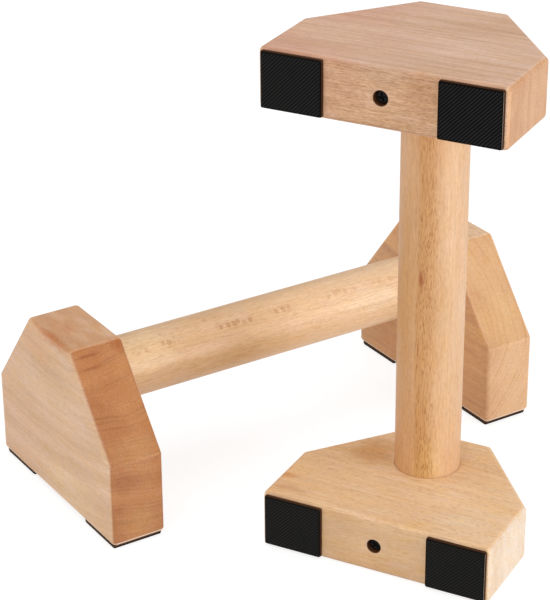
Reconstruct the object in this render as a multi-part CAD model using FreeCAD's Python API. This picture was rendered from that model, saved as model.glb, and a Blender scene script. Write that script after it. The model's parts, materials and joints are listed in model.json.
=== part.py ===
# A matched pair of wooden parallettes, the low bars for push-ups and hand balancing.
# Each bar is a round beech grip glued into blind sockets in two six-sided beech blocks,
# with one long screw through each block into the grip and stick-on rubber feet below.
# One bar lies on its feet along X. The other stands on end in front of it, feet outwards.
# Lengths are in millimetres and angles in degrees. +Z is up and the floor is z = 0.
import FreeCAD, Part
import math
import os

# Overall, over the outer faces of both blocks
bar_length = 300.0

# End blocks
block_width = 140.0
block_height = 107.0
block_thickness = 34.0
shoulder_height = 52.0
crown_width = 52.0
edge_radius = 3.0

# Grip and the sockets that hold its ends
grip_diameter = 38.0
grip_cover = 15.5
grip_end_chamfer = 1.5
socket_depth = 26.0
socket_clearance = 0.1

# Screws, driven from the foot face up into the grip
head_diameter = 7.6
head_height = 2.5
head_dome_radius = 1.2
head_recess = 2.5
head_clearance = 0.3
well_chamfer = 0.4
cross_width = 1.1
cross_span = 4.6
cross_depth = 1.6
shank_diameter = 3.1
thread_diameter = 4.2
core_diameter = 2.8
thread_pitch = 2.4
thread_length = 42.0
thread_root_width = 1.1
thread_root_sink = 0.15
point_length = 5.0
screw_bite = 22.0
shank_clearance = 0.2
pilot_clearance = 0.05
pilot_spare = 1.0

# Feet: a rubber pad on a self-adhesive backing, which shows a little all round it
pad_width = 35.0
pad_side_inset = 2.5
pad_face_inset = 1.5
pad_corner_radius = 1.0
rubber_thickness = 1.2
backing_thickness = 1.2
backing_margin = 0.3

# Where the standing bar is: its feet face this way, and its foot face is this far along X
standing_heading = -150.0
standing_shift = -38.4
pair_gap = 11.7

# How far a cutter runs past the face that it starts from
cut_overrun = 1.0

# How far each screw's cross is turned, by the end of the bar that it is in
screw_turns = {"near": 20.0, "far": 65.0, "lower": 35.0, "upper": 75.0}

# Places that follow from the sizes, in a bar's own frame: X along the grip, feet at z = 0
half_length = bar_length / 2
wood_base = rubber_thickness + backing_thickness
grip_height = wood_base + block_height - grip_cover - grip_diameter / 2
grip_underside = grip_height - grip_diameter / 2
grip_length = bar_length - 2 * (block_thickness - socket_depth)
seat_height = wood_base + head_recess + head_height
screw_length = grip_underside + screw_bite - seat_height
middle_of_block = half_length - block_thickness / 2
middle_of_pad = block_width / 2 - pad_side_inset - pad_width / 2
pad_depth = block_thickness - 2 * pad_face_inset

x_axis = FreeCAD.Vector(1, 0, 0)
y_axis = FreeCAD.Vector(0, 1, 0)
z_axis = FreeCAD.Vector(0, 0, 1)
origin = FreeCAD.Vector(0, 0, 0)


def block_outline():
    """Corners of a block's six-sided face as (across, up), from the foot round to the top."""
    side = block_width / 2
    crown = crown_width / 2
    return [
        (-side, 0),
        (side, 0),
        (side, shoulder_height),
        (crown, block_height),
        (-crown, block_height),
        (-side, shoulder_height),
    ]


def upright_cylinder(radius, x, low, high):
    """A cylinder on an upright axis in the bar's middle plane."""
    return Part.makeCylinder(radius, high - low, FreeCAD.Vector(x, 0, low), z_axis)


def centred_box(depth, width, height, base):
    """A box that stands on z = base, centred on the Z axis."""
    return Part.makeBox(depth, width, height, FreeCAD.Vector(-depth / 2, -width / 2, base))


def make_block():
    """The block at the -X end: rounded over, then bored for the grip and for its screw."""
    outer_face = -half_length
    corners = [FreeCAD.Vector(outer_face, y, wood_base + z) for y, z in block_outline()]
    profile = Part.Face(Part.makePolygon(corners + corners[:1]))
    prism = profile.extrude(x_axis * block_thickness)
    block = prism.makeFillet(edge_radius, prism.Edges)

    inner_face = outer_face + block_thickness
    mouth = FreeCAD.Vector(inner_face + cut_overrun, 0, grip_height)
    socket_radius = grip_diameter / 2 + socket_clearance
    socket = Part.makeCylinder(socket_radius, socket_depth + cut_overrun, mouth, x_axis * -1)

    well_radius = head_diameter / 2 + head_clearance
    well = upright_cylinder(well_radius, -middle_of_block, wood_base - cut_overrun, seat_height)
    rim = FreeCAD.Vector(-middle_of_block, 0, wood_base)
    eased_rim = Part.makeCone(well_radius + well_chamfer, well_radius, well_chamfer, rim, z_axis)
    hole_radius = thread_diameter / 2 + shank_clearance
    hole = upright_cylinder(hole_radius, -middle_of_block, wood_base, grip_height)
    return block.cut(socket).cut(well).cut(eased_rim).cut(hole)


def make_grip():
    """The round grip, chamfered to enter its sockets, with a pilot hole for each screw."""
    start = FreeCAD.Vector(-grip_length / 2, 0, grip_height)
    rod = Part.makeCylinder(grip_diameter / 2, grip_length, start, x_axis)
    end_edges = [edge for edge in rod.Edges if len(edge.Vertexes) == 1]
    grip = rod.makeChamfer(grip_end_chamfer, end_edges)

    pilot_radius = core_diameter / 2 + pilot_clearance
    low = grip_underside - cut_overrun
    high = grip_underside + screw_bite + pilot_spare
    for end in (-1, 1):
        grip = grip.cut(upright_cylinder(pilot_radius, end * middle_of_block, low, high))
    return grip


def make_screw_body():
    """Head, plain shank, core and point, turned about Z, with the head's seat at z = 0."""
    head = head_diameter / 2
    shank = shank_diameter / 2
    core = core_diameter / 2
    thread_start = screw_length - thread_length
    points = [
        (0, -head_height),
        (head, -head_height),
        (head, 0),
        (shank, 0),
        (shank, thread_start),
        (core, thread_start + shank - core),
        (core, screw_length - point_length),
        (0, screw_length),
    ]
    corners = [FreeCAD.Vector(r, 0, z) for r, z in points]
    body = Part.Face(Part.makePolygon(corners + corners[:1])).revolve(origin, z_axis, 360)
    rim = [
        edge
        for edge in body.Edges
        if len(edge.Vertexes) == 1 and edge.BoundBox.ZMax < -head_height / 2
    ]
    return body.makeFillet(head_dome_radius, rim)


def make_thread():
    """One helical ridge with a sharp crest, its root sunk a little into the core."""
    root = core_diameter / 2 - thread_root_sink
    crest = thread_diameter / 2
    start = screw_length - thread_length + thread_root_width
    height = thread_length - point_length - 2 * thread_root_width
    helix = Part.makeHelix(thread_pitch, height, root)
    corners = [
        FreeCAD.Vector(root, 0, -thread_root_width / 2),
        FreeCAD.Vector(crest, 0, 0),
        FreeCAD.Vector(root, 0, thread_root_width / 2),
    ]
    section = Part.makePolygon(corners + corners[:1])
    thread = Part.Wire(helix.Edges).makePipeShell([section], True, True)
    thread.translate(z_axis * start)
    return thread


def make_cross_recess():
    """The cutter for the driver's cross in the top of the head."""
    top = -head_height - cut_overrun
    depth = cross_depth + cut_overrun
    along = centred_box(cross_span, cross_width, depth, top)
    across = centred_box(cross_width, cross_span, depth, top)
    return along.fuse(across)


def make_screw():
    """A long cross-recessed wood screw pointing up, with its head's seat at z = 0."""
    return make_screw_body().fuse(make_thread()).cut(make_cross_recess())


def make_slab(depth, width, thickness, base, corner_radius):
    """A flat slab with rounded upright corners, centred on its foot."""
    slab = centred_box(depth, width, thickness, base)
    upright = [edge for edge in slab.Edges if edge.BoundBox.ZLength > thickness / 2]
    return slab.makeFillet(corner_radius, upright)


def make_pad():
    """The rubber pad that meets the floor."""
    return make_slab(pad_depth, pad_width, rubber_thickness, 0, pad_corner_radius)


def make_backing():
    """The self-adhesive layer between a pad and the wood."""
    depth = pad_depth + 2 * backing_margin
    width = pad_width + 2 * backing_margin
    corner_radius = pad_corner_radius + backing_margin
    return make_slab(depth, width, backing_thickness, rubber_thickness, corner_radius)


def moved(shape, matrix):
    """A copy of a shape, carried by a matrix."""
    copy = shape.copy()
    copy.transformShape(matrix, True)
    return copy


def shifted(x, y, z):
    """The matrix of a plain shift."""
    matrix = FreeCAD.Matrix()
    matrix.move(FreeCAD.Vector(x, y, z))
    return matrix


def turned_about_z(angle):
    """The matrix of a turn about Z."""
    matrix = FreeCAD.Matrix()
    matrix.rotateZ(math.radians(angle))
    return matrix


def make_bar(bar, end_names, side_names):
    """All pieces of one bar in its own frame, by name. Ends run -X, +X and sides +Y, -Y."""
    block = make_block()
    screw = make_screw()
    pieces = {bar + "_grip": make_grip()}
    for end, end_name in zip((-1, 1), end_names):
        name = bar + "_" + end_name
        half_turn = turned_about_z(0 if end < 0 else 180)
        pieces[name + "_block"] = moved(block, half_turn)
        at_seat = shifted(end * middle_of_block, 0, seat_height)
        pieces[name + "_screw"] = moved(screw, at_seat * turned_about_z(screw_turns[end_name]))
        for side, side_name in zip((1, -1), side_names):
            at_foot = shifted(end * middle_of_block, side * middle_of_pad, 0)
            pieces[name + "_" + side_name + "_pad"] = moved(make_pad(), at_foot)
            pieces[name + "_" + side_name + "_backing"] = moved(make_backing(), at_foot)
    return pieces


def standing_matrix():
    """Stands a bar on its -X end, with its feet facing the heading and a gap to the lying bar."""
    heading = math.radians(standing_heading)
    feet = FreeCAD.Vector(math.cos(heading), math.sin(heading), 0)
    across = z_axis.cross(feet)
    inwards = feet * -1
    reach = max((across * y + inwards * z).dot(y_axis) for y, z in block_outline())
    foot_face = FreeCAD.Vector(standing_shift, -block_width / 2 - pair_gap - reach, half_length)
    base = foot_face + feet * wood_base
    return FreeCAD.Matrix(
        z_axis.x, across.x, inwards.x, base.x,
        z_axis.y, across.y, inwards.y, base.y,
        z_axis.z, across.z, inwards.z, base.z,
        0, 0, 0, 1,
    )


def make_pair():
    """Both bars, with the middle of their common footprint over the origin."""
    pair = make_bar("lying", ("near", "far"), ("left", "right"))
    upright = make_bar("standing", ("lower", "upper"), ("right", "left"))
    stand = standing_matrix()
    for name, piece in upright.items():
        pair[name] = moved(piece, stand)
    box = Part.makeCompound(list(pair.values())).optimalBoundingBox(False)
    to_origin = shifted(-box.Center.x, -box.Center.y, 0)
    return {name: moved(piece, to_origin) for name, piece in pair.items()}


os.makedirs("parts", exist_ok=True)
for name, piece in make_pair().items():
    solid = piece.Solids[0]
    solid.exportStep(os.path.join("parts", name + ".step"))
    print(name, "valid" if solid.isValid() else "not valid", round(solid.Volume), "mm3")
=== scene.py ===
# A matched pair of wooden parallettes, the low bars for push-ups and hand balancing.
# One bar lies on its feet along X. The other stands on end in front of it, feet outwards.
# Lengths are in metres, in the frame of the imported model: +Z is up and the floor is z = 0.
import json
import math

import bpy
from mathutils import Matrix, Vector


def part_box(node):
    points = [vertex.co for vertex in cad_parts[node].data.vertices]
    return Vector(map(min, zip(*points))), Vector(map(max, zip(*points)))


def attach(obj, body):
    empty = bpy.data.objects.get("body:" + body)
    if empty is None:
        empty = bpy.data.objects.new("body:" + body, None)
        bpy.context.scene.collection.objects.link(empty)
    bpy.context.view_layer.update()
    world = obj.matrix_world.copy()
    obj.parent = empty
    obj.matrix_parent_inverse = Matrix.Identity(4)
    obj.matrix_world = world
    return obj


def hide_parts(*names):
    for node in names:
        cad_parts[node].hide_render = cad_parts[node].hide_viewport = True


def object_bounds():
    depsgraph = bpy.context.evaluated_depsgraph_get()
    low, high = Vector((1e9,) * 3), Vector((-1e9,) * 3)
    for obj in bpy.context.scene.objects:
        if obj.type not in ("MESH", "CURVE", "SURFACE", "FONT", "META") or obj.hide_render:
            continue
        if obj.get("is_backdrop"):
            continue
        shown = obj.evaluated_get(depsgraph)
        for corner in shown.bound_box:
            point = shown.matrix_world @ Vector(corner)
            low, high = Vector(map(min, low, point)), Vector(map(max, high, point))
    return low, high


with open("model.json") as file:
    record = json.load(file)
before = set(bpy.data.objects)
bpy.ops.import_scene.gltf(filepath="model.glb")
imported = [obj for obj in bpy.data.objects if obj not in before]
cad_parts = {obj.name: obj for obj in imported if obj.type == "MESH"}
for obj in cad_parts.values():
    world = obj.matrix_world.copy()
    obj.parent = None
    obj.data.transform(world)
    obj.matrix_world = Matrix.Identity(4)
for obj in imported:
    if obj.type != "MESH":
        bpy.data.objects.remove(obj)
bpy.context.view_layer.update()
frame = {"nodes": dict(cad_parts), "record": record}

# End blocks
# Four six-sided blocks sawn from solid beech board, with the grain from side to side.
# Their edges are rounded over, then the wood is sanded fine and oiled, so it stays satin.
millimetre = 0.001


def tint(red, green, blue):
    """A colour on the usual scale of 0 to 255, made linear for a shader's socket."""
    shares = [channel / 255 for channel in (red, green, blue)]
    linear = [s / 12.92 if s <= 0.04045 else ((s + 0.055) / 1.055) ** 2.4 for s in shares]
    return (*linear, 1.0)


def dye(red, green, blue):
    """The share of each colour that a stain leaves in the wood, also used for painted shade and
    highlight. A share above 1 bleaches it.
    """
    return (red, green, blue, 1.0)


class Wire:
    """A socket of a finish that carries a value. Sums and products add Math nodes."""

    def __init__(self, finish, socket):
        self.finish = finish
        self.socket = socket

    def maths(self, operation, *values):
        """A Math node on these values."""
        return self.finish.node("ShaderNodeMath", {"operation": operation}, dict(enumerate(values)))

    def __add__(self, other):
        return self.maths("ADD", self, other)

    __radd__ = __add__

    def __sub__(self, other):
        return self.maths("SUBTRACT", self, other)

    def __rsub__(self, other):
        return self.maths("SUBTRACT", other, self)

    def __mul__(self, other):
        return self.maths("MULTIPLY", self, other)

    __rmul__ = __mul__

    def __truediv__(self, other):
        return self.maths("DIVIDE", self, other)

    def __pow__(self, other):
        return self.maths("POWER", self, other)

    def __abs__(self):
        return self.maths("ABSOLUTE", self)


class Finish:
    """A material whose nodes are wired to its Principled shader."""

    def __init__(self, name):
        self.material = bpy.data.materials.new(name)
        self.material.use_nodes = True
        self.tree = self.material.node_tree
        self.shader = self.tree.nodes["Principled BSDF"]

    def node(self, kind, settings=None, sockets=None, output=0):
        """Adds a node, sets it up, then fills or links its sockets. Returns one of its outputs."""
        made = self.tree.nodes.new(kind)
        for name, value in (settings or {}).items():
            setattr(made, name, value)
        for name, value in (sockets or {}).items():
            self.fill(made.inputs[name], value)
        return Wire(self, made.outputs[output])

    def fill(self, socket, value):
        """Links a wire to a socket, or gives the socket a plain value."""
        if isinstance(value, Wire):
            self.tree.links.new(value.socket, socket)
        else:
            socket.default_value = value

    def set(self, **sockets):
        """Fills or links the shader's own sockets, named with _ for a space."""
        for name, value in sockets.items():
            self.fill(self.shader.inputs[name.replace("_", " ")], value)

    def other(self, wire, output):
        """Another output of the node that a wire comes from."""
        return Wire(self, wire.socket.node.outputs[output])

    def coordinates(self, centre, axes):
        """Places on the object in millimetres from a centre, along three axes of its own."""
        sockets = {
            "Vector": self.node("ShaderNodeTexCoord", output="Object"),
            "Location": centre,
            "Rotation": Matrix(axes).transposed().to_euler(),
            "Scale": (millimetre,) * 3,
        }
        return self.node("ShaderNodeMapping", {"vector_type": "TEXTURE"}, sockets)

    def facing(self, axes):
        """How squarely the surface faces each of three axes, below 0 where it faces away."""
        normal = self.node("ShaderNodeTexCoord", output="Normal")
        return [self.vector_maths("DOT_PRODUCT", normal, axis, output="Value") for axis in axes]

    def vector_maths(self, operation, *values, output=0):
        """A Vector Math node on these values."""
        sockets = dict(enumerate(values))
        return self.node("ShaderNodeVectorMath", {"operation": operation}, sockets, output)

    def parts(self, vector):
        """The three numbers of a vector."""
        x = self.node("ShaderNodeSeparateXYZ", None, {0: vector})
        return x, self.other(x, "Y"), self.other(x, "Z")

    def noise(self, vector, detail=2.0, roughness=0.5, scale=1.0):
        """Noise over places in space."""
        sockets = {"Vector": vector, "Scale": scale, "Detail": detail, "Roughness": roughness}
        return self.node("ShaderNodeTexNoise", None, sockets)

    def noise_along(self, value, detail):
        """Noise along one value."""
        sockets = {"W": value, "Scale": 1.0, "Detail": detail}
        return self.node("ShaderNodeTexNoise", {"noise_dimensions": "1D"}, sockets)

    def cells(self, settings=None, **sockets):
        """Voronoi cells: the distance from each cell's middle, and a lot drawn for each cell."""
        distance = self.node("ShaderNodeTexVoronoi", settings, {"Scale": 1.0} | sockets)
        lot = self.node("ShaderNodeSeparateColor", None, {0: self.other(distance, "Color")})
        return distance, lot

    def ease(self, value, start, end, low=0.0, high=1.0):
        """Eases from low to high as the value goes from start to end."""
        sockets = {0: value, 1: start, 2: end, 3: low, 4: high}
        return self.node("ShaderNodeMapRange", {"interpolation_type": "SMOOTHSTEP"}, sockets)

    def mix(self, share, first, second, blend="MIX"):
        """Goes from the first colour to the second by a share."""
        settings = {"data_type": "RGBA", "blend_type": blend}
        return self.node("ShaderNodeMix", settings, {0: share, 6: first, 7: second}, output=2)

    def stain(self, share, colour, stain_dye):
        """Takes a dye's part out of a colour, by a share."""
        return self.mix(share, colour, stain_dye, "MULTIPLY")

    def largest(self, *values):
        """The largest of several values."""
        most = values[0]
        for value in values[1:]:
            most = most.maths("MAXIMUM", most, value)
        return most

    def varied(self, colour, value, weights):
        """Raises or lowers a colour by a share of itself, weighed for red, green and blue."""
        weighed = {0: self.vector_maths("MULTIPLY", colour, weights), "Scale": value}
        change = self.node("ShaderNodeVectorMath", {"operation": "SCALE"}, weighed)
        return self.vector_maths("ADD", colour, change)


# How much of a change goes to red, green and blue
brown_to_pale = (0.75, 1.0, 1.35)
yellow_to_pink = (0.0, 0.25, 1.0)
# A block and its bores, in millimetres, and how squarely its slanting sides look along and up
half_thickness = 17.0
grip_radius = 19.0
well_radius = 4.4
well_top = -50.0
well_mouth = -60.0
slant_along = 0.781
slant_up = 0.625


class Beech(Finish):
    """Oiled beech, with year rings about a pith that lies along the grain.

    Places are in millimetres from the middle of the grip, or of its socket in a block:
    along the grain, which is the first axis, then across it, then up from the feet.
    """

    def __init__(self, name, centre, axes, look):
        super().__init__(name)
        self.look = look
        self.place = self.coordinates(centre, axes)
        self.along, self.across, self.up = self.parts(self.place)
        self.facing_grain, self.facing_side, self.facing_up = self.facing(axes)
        self.slanting = abs(self.facing_grain) * slant_along + self.facing_up * slant_up
        self.end = self.ease(abs(self.facing_grain), 0.3, 0.72)
        self.flat = self.ease(self.facing_up * look["stained_way"], 0.75, 0.92)
        self.patches = self.grain_noise(along=0.010, aside=0.032, detail=3.0)
        self.clouds = self.grain_noise(along=0.018, aside=0.03)
        self.blotches = self.grain_noise(along=0.04, aside=0.09)
        self.fibres = self.grain_noise(along=0.09, aside=1.1, detail=3.0, roughness=0.6)
        self.pores = self.grain_noise(along=0.35, aside=2.0, roughness=0.6)
        lines, reach, arc = self.year_rings()
        flecks = self.ray_flecks(reach, arc)
        self.colour_wood(lines, reach, flecks)
        self.polish(flecks)

    def grain_noise(self, along, aside, detail=2.0, roughness=0.5):
        """Noise drawn out with the grain, by its cells in a millimetre along it and aside."""
        drawn_out = self.vector_maths("MULTIPLY", self.place, (along, aside, aside))
        return self.noise(drawn_out, detail, roughness)

    def year_rings(self):
        """Latewood lines about the pith, and how far each point is out from it and round it."""
        look = self.look
        pith_across, pith_up = look["pith"]
        out_across = self.across - pith_across + self.along * look["lean"]
        out_up = self.up - pith_up + self.along * look["tilt"]
        wander = self.grain_noise(along=0.007, aside=0.022)
        waver = self.grain_noise(along=0.03, aside=0.11)
        reach = (out_across * out_across + out_up * out_up) ** 0.5
        reach = reach + (wander - 0.5) * look["wander"] + (waver - 0.5) * look["waver"]
        uneven = self.noise_along(reach * (0.21 / look["ring"]), detail=2.0)
        ring = reach / look["ring"] + uneven * 3.0
        phase = ring.maths("FRACT", ring)
        latewood = self.ease(phase, look["latewood"], 0.9) * self.ease(phase, 1.0, 0.9)
        vigour = self.ease(self.noise_along(ring * 0.43 + 7.3, detail=1.0), 0.3, 0.72, 0.1, 1.0)
        fading = self.ease(self.grain_noise(along=0.014, aside=0.06), 0.34, 0.66, 0.3, 1.0)
        arc = out_up.maths("ARCTAN2", out_up, out_across) * math.hypot(pith_across, pith_up)
        return latewood * vigour * fading, reach, arc

    def ray_flecks(self, reach, arc):
        """Rays: ribbons out from the pith, which show as dashes or flakes."""
        radial, tangential, lengthwise = self.look["ray"]
        ray_place = {0: reach / radial, 1: arc / tangential, 2: self.along / lengthwise}
        distance, lot = self.cells(Vector=self.node("ShaderNodeCombineXYZ", None, ray_place))
        crowding = self.ease(self.grain_noise(along=0.02, aside=0.07), 0.38, 0.64, 0.3, 1.0)
        rays = self.ease(distance, 0.4, 0.15) * self.ease(lot, 0.15, 0.7) * crowding
        dashes = self.ease(self.grain_noise(*self.look["dash"], detail=1.0), 0.57, 0.66)
        return self.largest(rays, dashes * 0.8)

    def flake_row(self):
        """Broad flakes in a row along the grip, where the dowel's skin meets the rays side on."""
        way_across, way_up = self.look["flake_way"]
        flake_length, flake_width = self.look["flake_size"]
        waver = self.grain_noise(along=0.12, aside=0.02)
        aside = self.across * way_up - self.up * way_across + (waver - 0.5) * 4
        outwards = self.across * way_across + self.up * way_up
        flake_place = {0: self.along / flake_length, 1: aside / flake_width + 0.5}
        distance, lot = self.cells(
            {"voronoi_dimensions": "2D", "distance": "MINKOWSKI"},
            Vector=self.node("ShaderNodeCombineXYZ", None, flake_place),
            Exponent=3.0,
            Randomness=0.75,
        )
        ragged = self.grain_noise(along=0.5, aside=0.9)
        blots = self.ease(distance + (ragged - 0.5) * 0.35, 0.36 + lot * 0.16, 0.24 + lot * 0.14)
        blots = blots * self.ease(self.other(lot, "Green"), 0.0, 0.6, 0.4, 1.0)
        in_row = self.ease(abs(aside), 3.4, 1.8) * self.ease(outwards, 8.0, 14.0)
        groups = []
        for start, end, depth in self.look["flake_spans"]:
            started = self.ease(self.along, start - 3, start + 1)
            groups.append(started * self.ease(self.along, end + 3, end - 1) * depth)
        return blots * in_row * self.largest(*groups)

    def streak(self):
        """A deeper streak down one side of the grip, sharper on the side where it starts."""
        start, stop = self.look["streak_span"]
        ragged = self.across + (self.clouds - 0.5) * 5
        band = self.ease(ragged, start - 1.5, start + 0.5) * self.ease(ragged, stop + 4, stop - 5)
        return band * self.ease(self.up, 2.0, -4.0)

    def side_grain(self, lines, streak):
        """Pale and deep wood in broad patches, a blush to one side and stained flat faces."""
        look = self.look
        colour = self.mix(self.ease(self.patches, 0.32, 0.68), look["pale"], look["deep"])
        sideways = self.along if look["blush_with_grain"] else self.across
        sideways = sideways + (self.clouds - 0.5) * look["blush_wander"]
        colour = self.mix(self.ease(sideways, *look["blush_span"]), colour, look["blush"])
        if streak:
            colour = self.mix(streak * 0.8, colour, look["streak"])
        colour = self.mix(lines * (1 - self.flat * 0.6) * look["line_share"], colour, look["line"])
        blotched = self.flat * self.ease(self.blotches, 0.35, 0.62, 1 - look["blotch"], 1.0)
        return self.stain(blotched, colour, look["flat_stain"])

    def end_grain(self, lines):
        """The deeper colour of the faces that the grain runs out of, with painted shade on the
        slanting ones.
        """
        look = self.look
        colour = self.mix(self.ease(self.clouds, 0.38, 0.62), look["end"], look["end_deep"])
        colour = self.mix(lines * look["end_line_share"], colour, look["end_line"])
        # Painted shade on the slanting faces, which the lamps overhead light more.
        return self.stain(self.ease(self.slanting, 0.9, 0.98), colour, look["slant_shade"])

    def stained(self, colour):
        """Ragged deeper and paler patches, strongest at the centre and fading over the reach."""
        ragged = self.grain_noise(along=0.12, aside=0.3, detail=3.0, roughness=0.6)
        for centre, reach, patch_dye in self.look["stains"].values():
            offset = self.vector_maths("SUBTRACT", self.place, centre)
            spread = self.vector_maths("MULTIPLY", offset, [1 / length for length in reach])
            away = self.vector_maths("LENGTH", spread, output="Value")
            colour = self.stain(self.ease(away + (ragged - 0.5) * 0.9, 1.1, 0.2), colour, patch_dye)
        return colour

    def bared_and_highlit_edges(self):
        """The edges across the grain, where rounding over bares paler wood, topped with a painted
        highlight.
        """
        squareness = self.largest(abs(self.facing_grain), abs(self.facing_up), self.slanting)
        rounded = self.ease(squareness, 0.96, 0.935) * self.ease(self.facing_up, 0.85, 0.5)
        return rounded * self.ease(abs(self.facing_side), 0.3, 0.1)

    def rims_and_bores(self, colour):
        """Painted bounce light on the foot rim, painted shade on the rims along the grain, the
        grip's glue line with painted shadow and painted shade in the screw's well.
        """
        look = self.look
        # Painted bounce light: the rounding along the feet is made pale, as if lit from the floor.
        painted_bounce_rim = self.ease(self.facing_up, -0.12, -0.4) * self.ease(self.facing_up, -0.97, -0.85)
        colour = self.mix(painted_bounce_rim * look["painted_bounce_rim_share"], colour, look["painted_bounce_rim"])
        # Painted shade on the roundings along the grain, in blotches, so they show no paler than
        # their faces under the lamps.
        sideways = abs(self.facing_side)
        rim = self.ease(sideways, 0.25, 0.5) * self.ease(sideways, 0.97, 0.85)
        rim = rim * self.ease(abs(self.facing_grain), 0.25, 0.05)
        rim = rim * self.ease(self.blotches, 0.35, 0.6, 0.4, 1.0)
        colour = self.stain(rim, colour, look["rim_shade"])
        # A thin glue line with painted contact shadow where the grip enters the inner face.
        from_grip = (self.along * self.along + self.up * self.up) ** 0.5
        inwards = self.across * look["inwards"]
        glue_and_shadow_line = self.ease(inwards, half_thickness - 1.5, half_thickness - 0.5)
        glue_and_shadow_line = glue_and_shadow_line * self.ease(from_grip, grip_radius + 0.7, grip_radius + 0.1)
        colour = self.mix(glue_and_shadow_line * 0.35, colour, look["shade_and_glue"])
        # Painted shade inside the screw's well, below its mouth.
        from_screw = (self.along * self.along + self.across * self.across) ** 0.5
        well = self.ease(from_screw, well_radius + 0.1, well_radius - 0.1)
        return self.mix(well * self.ease(self.up, well_top, well_mouth), colour, look["shade_and_glue"])

    def colour_wood(self, lines, reach, flecks):
        """Puts the colours of side and end grain, rays, patches, fibres and edges together."""
        look = self.look
        streak = self.streak() if "streak" in look else None
        colour = self.mix(self.end, self.side_grain(lines, streak), self.end_grain(lines))
        strength = 1 + self.flat * (look["flat_grain"] - 1) + self.end * look["end_grain"]
        fleck_share = flecks * strength * (1 - self.end * 0.7) * look["fleck_share"]
        if streak:
            fleck_share = fleck_share * (0.35 + streak)
        colour = self.mix(fleck_share, colour, look["fleck"])
        if "flake" in look:
            colour = self.mix(self.flake_row() * look["flake_share"], colour, look["flake"])
        colour = self.stained(colour)
        strands = self.grain_noise(along=0.014, aside=0.4, detail=3.0, roughness=0.6)
        seasons = self.noise_along(reach * 0.11, detail=2.0)
        shade = ((self.fibres - 0.5) * look["fibre"] + (self.pores - 0.5) * look["pore"]) * strength
        shade = shade + (strands - 0.5) * (1 - self.end) * look["strand"]
        shade = shade + (seasons - 0.5) * look["season"]
        # Bared edges, paler wood with a painted highlight, then the rims and bores.
        if "edge" in look:
            shade = shade + self.bared_and_highlit_edges() * look["edge"]
            colour = self.rims_and_bores(colour)
        tinge = self.grain_noise(along=0.06, aside=0.2, detail=4.0, roughness=0.65)
        colour = self.varied(colour, (tinge - 0.5) * look["tinge"], yellow_to_pink)
        self.set(Base_Color=self.varied(colour, shade, brown_to_pale))

    def polish(self, flecks):
        """The oiled skin, duller over fibres, rays and end grain, with the grain just felt."""
        dullness = self.look["roughness"] + (self.fibres - 0.5) * 0.2
        dullness = dullness + (self.patches - 0.5) * self.look["sheen_drift"]
        self.set(Roughness=dullness + flecks * 0.06 + self.end * 0.08)
        height = self.fibres * 0.5 + self.pores * 0.5 - flecks * 0.3
        bump = {"Strength": 0.12, "Distance": 0.1 * millimetre, "Height": height}
        self.set(Normal=self.node("ShaderNodeBump", None, bump))
        self.set(Specular_IOR_Level=self.look["gloss"])


mounts = frame["record"]["mounts"]
feet = {mount["name"]: mount for mount in mounts if mount["name"].endswith("_foot")}
bars = {
    "lying": {
        "along": Vector((1, 0, 0)),
        "up": -Vector(feet["lying_near_left_foot"]["axis"]),
        "ends": ("near", "far"),
    },
    "standing": {
        "along": Vector((0, 0, 1)),
        "up": -Vector(feet["standing_lower_left_foot"]["axis"]),
        "ends": ("lower", "upper"),
    },
}
for bar_name, bar in bars.items():
    low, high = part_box(bar_name + "_grip")
    bar["centre"] = (low + high) / 2
    bar["across"] = bar["up"].cross(bar["along"])

# Piths, rings, rays and spans are in millimetres, and dashes in cells a millimetre.
# A share says how much of a colour is mixed in, and a stain has its centre, reach and dye; a few
# stains are painted shade or highlight, noted where they stand.
beech_look = {
    "lean": 0.0,
    "tilt": 0.0,
    "latewood": 0.2,
    "blush_with_grain": True,
    "flat_stain": dye(1.0, 1.0, 1.0),
    "stained_way": 1.0,
    "blotch": 0.15,
    "flat_grain": 1.0,
    "end_grain": 0.3,
    "end": tint(224, 180, 138),
    "end_deep": tint(216, 168, 126),
    "end_line": tint(196, 142, 100),
    "end_line_share": 0.45,
    "slant_shade": dye(1.0, 1.0, 1.0),
    "season": 0.15,
    "strand": 0.2,
    "fibre": 0.4,
    "pore": 0.4,
}
block_look = beech_look | {
    "ring": 3.0,
    "wander": 10.0,
    "waver": 1.2,
    "ray": (3.0, 0.9, 4.2),
    "dash": (0.2, 1.4),
    "pale": tint(222, 184, 150),
    "deep": tint(212, 172, 136),
    "blush": tint(214, 166, 134),
    "blush_span": (200.0, 300.0),
    "blush_wander": 90.0,
    "line": tint(190, 142, 106),
    "line_share": 0.45,
    "fleck": tint(164, 104, 62),
    "fleck_share": 0.32,
    "tinge": 0.5,
    "edge": 0.08,
    # Painted bounce light on the foot rim, and below how much of it is shown
    "painted_bounce_rim": tint(252, 236, 214),
    "painted_bounce_rim_share": 0.0,
    "rim_shade": dye(0.92, 0.9, 0.88),
    # Brown for the glue line and for painted shade about the grip and in the screw's well
    "shade_and_glue": tint(100, 60, 33),
    "roughness": 0.46,
    "sheen_drift": 0.0,
    "gloss": 0.4,
}
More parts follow.
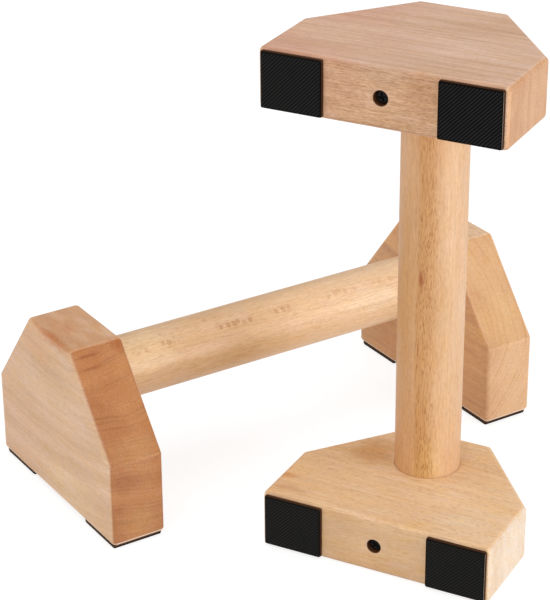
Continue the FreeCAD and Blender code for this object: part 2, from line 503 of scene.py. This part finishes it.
block_looks = {
    "lying_near_block": block_look
    | {
        "pith": (30.0, 84.0),
        "lean": -0.6,
        "tilt": 0.17,
        "ring": 2.4,
        "latewood": 0.4,
        "wander": 13.0,
        "waver": 2.0,
        "season": 0.3,
        "blush": tint(214, 170, 136),
        "blush_span": (10.0, 110.0),
        "flat_stain": dye(0.87, 0.72, 0.58),
        "blotch": 0.6,
        "tinge": 0.8,
        "line_share": 0.3,
        "end_grain": 1.2,
        "end": tint(179, 121, 76),
        "end_deep": tint(168, 108, 66),
        "end_line": tint(124, 72, 42),
        "end_line_share": 0.42,
        "slant_shade": dye(1.0, 1.0, 0.9),
        "fleck_share": 0.2,
        "fibre": 0.28,
        "pore": 0.3,
        "edge": 0.4,
        "painted_bounce_rim_share": 0.42,
        "rim_shade": dye(0.9, 0.78, 0.66),
        "stains": {
            "crown's outer edge": ((-5.0, 17.5, 33.5), (27.0, 5.0, 6.0), dye(0.82, 0.58, 0.42)),
            "crown": ((2.0, 6.0, 34.0), (18.0, 9.0, 6.0), dye(0.96, 0.84, 0.74)),
            "crown's inner corner": ((-27.0, -14.0, 32.0), (7.0, 8.0, 7.0), dye(0.84, 0.66, 0.5)),
            "high on the slant": ((-31.0, 8.0, 27.0), (12.0, 14.0, 14.0), dye(0.93, 0.84, 0.78)),
            "upper arc": ((-29.3, 7.0, 30.4), (1.2, 10.0, 1.2), dye(0.8, 0.68, 0.6)),
            "lower arc": ((-34.0, 8.0, 24.5), (1.2, 9.0, 1.2), dye(0.82, 0.7, 0.6)),
            "middle of the slant": ((-43.0, 4.0, 13.0), (11.0, 16.0, 14.0), dye(0.93, 0.87, 0.83)),
            # Partly paler wood, partly a painted highlight along the shoulder's rounded edge.
            "shoulder": ((-66.0, 2.0, -16.0), (11.0, 21.0, 14.0), dye(1.1, 1.27, 1.36)),
            "under the shoulder": ((-70.0, 7.0, -34.0), (8.0, 13.0, 9.0), dye(0.9, 0.86, 0.86)),
            "foot of the side": ((-70.0, 2.0, -60.0), (8.0, 19.0, 15.0), dye(1.08, 1.2, 1.17)),
            "outer face": ((-5.5, 17.0, 4.0), (30.0, 8.0, 24.0), dye(0.93, 0.9, 0.82)),
            "outer face, low": ((-18.0, 17.0, -62.0), (44.0, 8.0, 20.0), dye(1.08, 1.16, 1.14)),
            "outer face, high": ((14.0, 17.0, 22.0), (26.0, 8.0, 18.0), dye(0.97, 0.9, 0.82)),
        },
    },
    "lying_far_block": block_look
    | {
        "pith": (84.0, -1.0),
        "ring": 3.2,
        "pale": tint(222, 170, 121),
        "deep": tint(212, 157, 105),
        "line": tint(172, 106, 80),
        "line_share": 0.5,
        "end_line_share": 0.6,
        "flat_stain": dye(1.13, 1.4, 1.85),
        "slant_shade": dye(0.89, 0.85, 0.75),
        "painted_bounce_rim_share": 0.5,
        "stains": {
            "low on the slant": ((-60.0, 4.0, -8.0), (19.0, 24.0, 24.0), dye(1.1, 1.17, 1.14)),
            "inner face, low": ((38.0, 17.0, -52.0), (32.0, 6.0, 20.0), dye(0.95, 0.86, 0.78)),
            "inner face, high": ((36.0, 17.0, 8.0), (22.0, 6.0, 18.0), dye(1.08, 1.13, 1.15)),
        },
    },
    "standing_lower_block": block_look
    | {
        "pith": (-25.0, 140.0),
        "pale": tint(246, 208, 163),
        "deep": tint(237, 195, 149),
        "blush": tint(232, 189, 142),
        "blush_span": (20.0, -80.0),
        "line_share": 0.12,
        "flat_stain": dye(0.72, 0.68, 0.64),
        "stained_way": -1.0,
        "fleck": tint(176, 100, 54),
        "fleck_share": 0.27,
        "dash": (0.28, 1.9),
        "tinge": 0.9,
        "end": tint(236, 215, 192),
        "end_deep": tint(230, 204, 176),
        "end_line_share": 0.22,
        "rim_shade": dye(0.75, 0.72, 0.72),
        "stains": {
            "left corner": ((-65.0, -17.0, -50.0), (9.0, 6.0, 4.0), dye(0.88, 0.7, 0.52)),
            "over the left foot": ((-58.0, -17.0, -62.0), (15.0, 6.0, 5.0), dye(0.9, 0.82, 0.78)),
            # Painted contact shade on the top beside the grip's foot.
            "painted shade left of the grip": ((-33.0, -17.0, -3.0), (18.0, 6.0, 18.0), dye(0.86, 0.71, 0.53)),
            "over the right foot": ((43.0, -17.0, -56.0), (24.0, 6.0, 18.0), dye(1.02, 1.1, 1.22)),
        },
    },
    "standing_upper_block": block_look
    | {
        "pith": (20.0, 150.0),
        "pale": tint(221, 183, 156),
        "deep": tint(211, 171, 141),
        "blush": tint(213, 165, 139),
        "blush_span": (10.0, -60.0),
        "line_share": 0.8,
        "flat_stain": dye(0.83, 0.77, 0.64),
        "stained_way": -1.0,
        "fleck_share": 0.22,
        "dash": (0.4, 2.2),
        "strand": 0.6,
        "fibre": 0.45,
        "flat_grain": 2.4,
        "end": tint(208, 162, 124),
        "end_deep": tint(200, 150, 110),
        "end_line": tint(176, 122, 82),
        "end_line_share": 0.6,
        "edge": 0.2,
        "rim_shade": dye(0.78, 0.7, 0.64),
        "stains": {
            "right of the screw": ((24.0, -5.0, -72.5), (17.0, 17.0, 6.0), dye(0.87, 0.79, 0.7)),
            "over the screw": ((-2.0, -14.0, -72.5), (28.0, 8.0, 7.0), dye(0.91, 0.92, 0.94)),
            "outer face, left": ((-50.0, -17.0, -34.0), (32.0, 6.0, 26.0), dye(1.07, 1.19, 1.19)),
        },
    },
}
for block_name, look in block_looks.items():
    bar = bars[block_name.split("_")[0]]
    low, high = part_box(block_name)
    along_bar = ((low + high) / 2 - bar["centre"]).dot(bar["along"])
    block_centre = bar["centre"] + bar["along"] * along_bar
    block_axes = (bar["across"], -bar["along"], bar["up"])
    look["inwards"] = math.copysign(1.0, along_bar)
    block = frame["nodes"][block_name]
    block.data.materials.clear()
    block_beech = Beech(block_name + "_beech", block_centre, block_axes, look)
    block.data.materials.append(block_beech.material)

# Grips
# A turned beech dowel for each bar, 38 mm thick, glued into blind sockets in its two blocks.
# The rays show as flakes where the saw met them edge on, and as short dashes elsewhere.
grip_look = beech_look | {
    "ring": 2.2,
    "wander": 5.0,
    "waver": 0.8,
    "ray": (6.0, 0.5, 5.0),
    "dash": (0.17, 2.4),
    "line": tint(196, 146, 98),
    "line_share": 0.3,
    "tinge": 0.65,
    "roughness": 0.47,
    "sheen_drift": 0.3,
    "gloss": 0.6,
}
grip_looks = {
    "lying": grip_look
    | {
        "pith": (39.0, 31.0),
        "pale": tint(224, 184, 142),
        "deep": tint(214, 171, 126),
        "blush": tint(227, 189, 148),
        "blush_span": (-30.0, 50.0),
        "blush_wander": 30.0,
        "fleck": tint(156, 96, 46),
        "fleck_share": 0.26,
        "flake": tint(182, 118, 62),
        "flake_share": 0.54,
        "flake_size": (3.8, 4.4),
        "flake_way": (-0.62, 0.785),
        # Where each group of flakes starts and ends along the grip, and how deep its colour is
        "flake_spans": (
            (-101, -93, 0.7),
            (-82, -70, 0.9),
            (-43, -19, 1.0),
            (-5, 7, 0.8),
            (34, 56, 0.55),
            (70, 84, 0.45),
        ),
        "stains": {
            "near end": ((-98.0, -12.0, 14.0), (30.0, 20.0, 20.0), dye(1.15, 1.25, 1.28)),
            "front": ((-28.0, -18.9, -4.0), (60.0, 9.0, 9.0), dye(0.94, 0.9, 0.8)),
            "far end": ((64.0, -17.8, 6.7), (30.0, 9.0, 9.0), dye(1.02, 1.09, 1.15)),
        },
    },
    "standing": grip_look
    | {
        "pith": (3.0, 58.0),
        "pale": tint(222, 181, 141),
        "deep": tint(217, 173, 130),
        "blush": tint(207, 158, 110),
        "blush_with_grain": False,
        "blush_span": (7.0, -1.0),
        "blush_wander": 8.0,
        "streak": tint(198, 143, 80),
        "streak_span": (0.0, 10.0),
        "fleck": tint(150, 80, 16),
        "fleck_share": 0.6,
        "stains": {
            "red mark": ((9.5, 1.6, -18.0), (8.0, 1.8, 8.0), dye(0.68, 0.38, 0.2)),
            "left side": ((0.0, -9.0, -15.0), (55.0, 12.0, 10.0), dye(1.0, 0.98, 0.88)),
            "left side, high": ((80.0, -9.0, -15.0), (45.0, 12.0, 10.0), dye(1.09, 1.16, 1.28)),
            "right side": ((-14.0, 14.0, -12.0), (42.0, 10.0, 10.0), dye(0.94, 0.91, 0.84)),
            "right side, low": ((-108.0, 8.0, -17.0), (26.0, 13.0, 10.0), dye(1.08, 1.2, 1.18)),
        },
    },
}
for bar_name, bar in bars.items():
    grip_axes = (bar["along"], bar["across"], bar["up"])
    grip = frame["nodes"][bar_name + "_grip"]
    grip.data.materials.clear()
    grip_beech = Beech(bar_name + "_grip_beech", bar["centre"], grip_axes, grip_looks[bar_name])
    grip.data.materials.append(grip_beech.material)


# Screws
# One long cross-headed wood screw through each block into the grip, sunk below the foot face.
# The steel is phosphated black and a little oily.
def black_steel():
    finish = Finish("black_phosphated_steel")
    place = finish.node("ShaderNodeTexCoord", output="Object")
    grime = finish.noise(place, detail=3.0, scale=900.0)
    finish.set(Base_Color=finish.mix(grime, tint(7, 7, 8), tint(22, 20, 19)))
    finish.set(Roughness=0.5 + grime * 0.25, Metallic=0.1, Specular_IOR_Level=0.18)
    return finish.material


steel = black_steel()
for bar_name, bar in bars.items():
    for end_name in bar["ends"]:
        screw = frame["nodes"][bar_name + "_" + end_name + "_screw"]
        screw.data.materials.clear()
        screw.data.materials.append(steel)


# Backings
# A brown foam with adhesive on both faces, which holds each rubber foot to the wood.
# It is die-cut a little larger than the rubber, so a thin brown line of it shows all round.
def adhesive_foam():
    finish = Finish("adhesive_foam")
    place = finish.node("ShaderNodeTexCoord", output="Object")
    cloud = finish.noise(place, scale=300.0)
    bubbles = finish.noise(place, scale=2500.0)
    colour = finish.mix(cloud, tint(52, 31, 16), tint(88, 54, 30))
    finish.set(Base_Color=finish.varied(colour, (bubbles - 0.5) * 0.8, brown_to_pale))
    finish.set(Roughness=0.6 + cloud * 0.2, Specular_IOR_Level=0.2)
    return finish.material


foam = adhesive_foam()
for foot_name in feet:
    backing = frame["nodes"][foot_name.replace("_foot", "_backing")]
    backing.data.materials.clear()
    backing.data.materials.append(foam)

# Rubber feet
# Eight rectangles cut from ribbed black rubber sheet, with the ribs running aslant.
# They are stuck to the foot faces near the ends of each block.
pad_low, pad_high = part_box("lying_near_left_pad")
pad_depth, pad_width, pad_thickness = pad_high - pad_low
pad_corner = 1.0 * millimetre
rib_height = 0.4 * millimetre
rib_pitch = 1.48 * millimetre
rib_width = 0.75 * millimetre
rib_slope = math.radians(46)
rib_edge = 0.12 * millimetre
groove_floor = (pad_thickness - rib_height) / 2
top_of_pad = groove_floor + rib_height
light_dust = 0.2
dust_on_feet = {
    "standing_upper_right_foot": 0.0,
    "standing_lower_left_foot": 0.4,
    "standing_lower_right_foot": 0.4,
}


def rubber():
    """Black rubber, its rib tops paler from wear and its grooves painted near black as shade, with
    dust, a brown core and one pale trimmed edge.
    """
    finish = Finish("ribbed_black_rubber")

    def layer(name):
        return finish.node("ShaderNodeAttribute", {"attribute_name": name}, None, "Fac")

    place = finish.node("ShaderNodeTexCoord", output="Object")
    bloom = finish.noise(place, detail=3.0, scale=120.0)
    grit = finish.noise(place, scale=4000.0)
    # Painted shade: the grooves go near black and the rib tops paler, partly from wear.
    wear_and_groove_shade = finish.ease(layer("rise"), 0.4, 1.0) * (0.4 + bloom * 0.9 + grit * 0.3)
    colour = finish.mix(wear_and_groove_shade, tint(1, 1, 1), tint(32, 32, 32))
    colour = finish.mix(layer("dust"), colour, tint(33, 31, 29))
    colour = finish.mix(finish.ease(layer("core"), 0.2, 0.6), colour, tint(84, 50, 26))
    trimmed = finish.ease(layer("cut"), 0.55, 0.95) * (0.4 + bloom)
    finish.set(Base_Color=finish.mix(trimmed, colour, tint(188, 174, 162)))
    finish.set(Roughness=0.55 + grit * 0.25, Specular_IOR_Level=0.09)
    bump = {"Strength": 0.25, "Distance": 0.05 * millimetre, "Height": grit}
    finish.set(Normal=finish.node("ShaderNodeBump", None, bump))
    return finish.material


bpy.ops.object.select_all(action="DESELECT")
bpy.ops.mesh.primitive_cube_add(size=1)
pattern_pad = bpy.context.object
pattern_pad.name = "pattern_pad"
pattern_pad.scale = (pad_width, pad_depth, pad_thickness - rib_height)
bpy.ops.object.transform_apply(location=False, rotation=False, scale=True)
pattern = pattern_pad.data


def select_only(items, wanted):
    """Selects, in object mode, just the faces or edges of the pattern that are wanted."""
    for group in (pattern.vertices, pattern.edges, pattern.polygons):
        group.foreach_set("select", [False] * len(group))
    for item in items:
        item.select = wanted(item)


def upright(edge):
    first, second = [pattern.vertices[index].co for index in edge.vertices]
    return abs(first.z - second.z) > rib_height


select_only(pattern.edges, upright)
bpy.ops.object.mode_set(mode="EDIT")
bpy.ops.mesh.select_mode(type="EDGE")
bpy.ops.mesh.bevel(offset=pad_corner, segments=4)
rib_normal = Vector((-math.sin(rib_slope), math.cos(rib_slope), 0))
rib_count = int((pad_width + pad_depth) / 2 / rib_pitch)
for rib in range(-rib_count, rib_count + 1):
    for rib_side in (-rib_width / 2, rib_width / 2):
        bpy.ops.mesh.select_all(action="SELECT")
        bpy.ops.mesh.bisect(plane_co=rib_normal * (rib * rib_pitch + rib_side), plane_no=rib_normal)
bpy.ops.object.mode_set(mode="OBJECT")


def on_rib(face):
    ribs_away = face.center.dot(rib_normal) / rib_pitch
    return face.normal.z > 0.9 and abs(ribs_away - round(ribs_away)) * rib_pitch < rib_width / 2


select_only(pattern.polygons, on_rib)
bpy.ops.object.mode_set(mode="EDIT")
bpy.ops.mesh.select_mode(type="FACE")
bpy.ops.mesh.extrude_region_move(TRANSFORM_OT_translate={"value": (0, 0, rib_height)})
bpy.ops.object.mode_set(mode="OBJECT")
easing = pattern_pad.modifiers.new("eased_edges", "BEVEL")
easing.width = rib_edge
easing.segments = 2
easing.limit_method = "ANGLE"
easing.angle_limit = math.radians(50)
bpy.ops.object.modifier_apply(modifier=easing.name)

# How far up its rib each point is, and whether it is on the trimmed edge or the brown core
rises = pattern.attributes.new("rise", "FLOAT", "POINT")
cuts = pattern.attributes.new("cut", "FLOAT", "POINT")
cores = pattern.attributes.new("core", "FLOAT", "POINT")
for vertex in pattern.vertices:
    rises.data[vertex.index].value = (vertex.co.z - groove_floor) / rib_height
    skin = min(max(vertex.co.z / groove_floor * 0.7 + 0.5, 0.0), 1.0)
    cuts.data[vertex.index].value = skin * float(vertex.co.x > pad_width / 2 - rib_edge)
    cores.data[vertex.index].value = 1 - skin
pattern.materials.append(rubber())


def spread_layer(mesh, name, value):
    """Gives every point of a pad the same value of a layer."""
    layer = mesh.attributes.get(name) or mesh.attributes.new(name, "FLOAT", "POINT")
    layer.data.foreach_set("value", [value] * len(mesh.vertices))


for foot_name, foot in feet.items():
    bar_name = foot_name.split("_")[0]
    bar = bars[bar_name]
    pad_name = foot_name.replace("_foot", "_pad")
    pad = pattern_pad.copy()
    pad.data = pattern.copy()
    pad.name = pad_name.replace("_pad", "_ribbed_pad")
    bpy.context.collection.objects.link(pad)
    spread_layer(pad.data, "dust", dust_on_feet.get(foot_name, light_dust))
    # Painted shade: the lying bar's pads, in shade under their blocks, get no brown core and no
    # pale edge.
    if bar_name == "lying":
        spread_layer(pad.data, "cut", 0.0)
        spread_layer(pad.data, "core", 0.0)
    outwards = -bar["up"]
    to_end = (Vector(foot["pos_m"]) - bar["centre"]).dot(bar["across"])
    cut_end = bar["across"] * math.copysign(1.0, to_end)
    turn = Matrix((cut_end, outwards.cross(cut_end), outwards)).transposed().to_4x4()
    seat = Vector(foot["pos_m"]) - outwards * top_of_pad
    pad.data.transform(Matrix.Translation(seat) @ turn)
    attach(pad, bar_name + "_bar")
    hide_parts(pad_name)
bpy.data.objects.remove(pattern_pad)

# Studio
# A plain pale floor, which the camera sees as white but for the soft shadow on it.
# A large lamp stands to the right of the pair, one hangs over it and a weaker one is to the left.
bpy.ops.mesh.primitive_plane_add(size=6)
floor = bpy.context.object
floor.name = "floor"
floor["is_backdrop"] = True


def pale_floor():
    finish = Finish("pale_floor")
    camera_ray = finish.node("ShaderNodeLightPath", output="Is Camera Ray")
    glossy_ray = finish.other(camera_ray, "Is Glossy Ray")
    seen = camera_ray + glossy_ray + finish.other(camera_ray, "Is Transmission Ray")
    seen = finish.node("ShaderNodeClamp", None, {0: seen})
    board = finish.node("ShaderNodeBsdfDiffuse", None, {"Color": (0.8, 0.8, 0.8, 1)})
    shown = finish.node("ShaderNodeBsdfDiffuse", None, {"Color": (0.3, 0.3, 0.3, 1)})
    glow = finish.node("ShaderNodeEmission", None, {"Color": (1, 1, 1, 1), "Strength": 0.8})
    lit = finish.node("ShaderNodeAddShader", None, {0: shown, 1: glow})
    both = finish.node("ShaderNodeMixShader", None, {0: seen, 1: board, 2: lit})
    finish.fill(finish.tree.nodes["Material Output"].inputs["Surface"], both)
    return finish.material


floor.data.materials.append(pale_floor())

world = bpy.data.worlds.new("white_studio")
bpy.context.scene.world = world
world.use_nodes = True
sky = world.node_tree
background = sky.nodes["Background"]
background.inputs["Color"].default_value = (1, 1, 1, 1)
sky_rays = sky.nodes.new("ShaderNodeLightPath")
brightness = sky.nodes.new("ShaderNodeMapRange")
brightness.inputs["To Min"].default_value = 0.5
brightness.inputs["To Max"].default_value = 1.0
sky.links.new(sky_rays.outputs["Is Camera Ray"], brightness.inputs["Value"])
sky.links.new(brightness.outputs["Result"], background.inputs["Strength"])


def soft_lamp(name, place, aim, size, power):
    light = bpy.data.lights.new(name, "AREA")
    light.size = size
    light.energy = power
    lamp = bpy.data.objects.new(name, light)
    lamp.location = place
    lamp.rotation_euler = (Vector(aim) - Vector(place)).to_track_quat("-Z", "Y").to_euler()
    bpy.context.collection.objects.link(lamp)


soft_lamp("key_lamp", place=(1.55, -2.45, 0.6), aim=(0, 0, 0.15), size=1.6, power=50)
soft_lamp("overhead_lamp", place=(-0.3, 0.0, 2.7), aim=(0, 0, 0.1), size=2.0, power=24)
soft_lamp("fill_lamp", place=(-2.5, -1.2, 0.8), aim=(0, 0, 0.15), size=1.8, power=30)

# Camera
# A long lens ahead of the pair and to its left, looking down on it.
# Its place, turn and length were fitted to the corners of both bars.
camera_data = bpy.data.cameras.new("camera")
camera_data.lens = 133.0506
camera_data.sensor_width = 36
camera = bpy.data.objects.new("camera", camera_data)
camera.location = (-0.64783, -0.95067, 0.68017)
camera.rotation_euler = [math.radians(angle) for angle in (64.1755, 0.376, -32.5289)]
bpy.context.collection.objects.link(camera)
bpy.context.scene.camera = camera
bpy.context.scene.view_settings.view_transform = "Standard"

low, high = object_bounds()
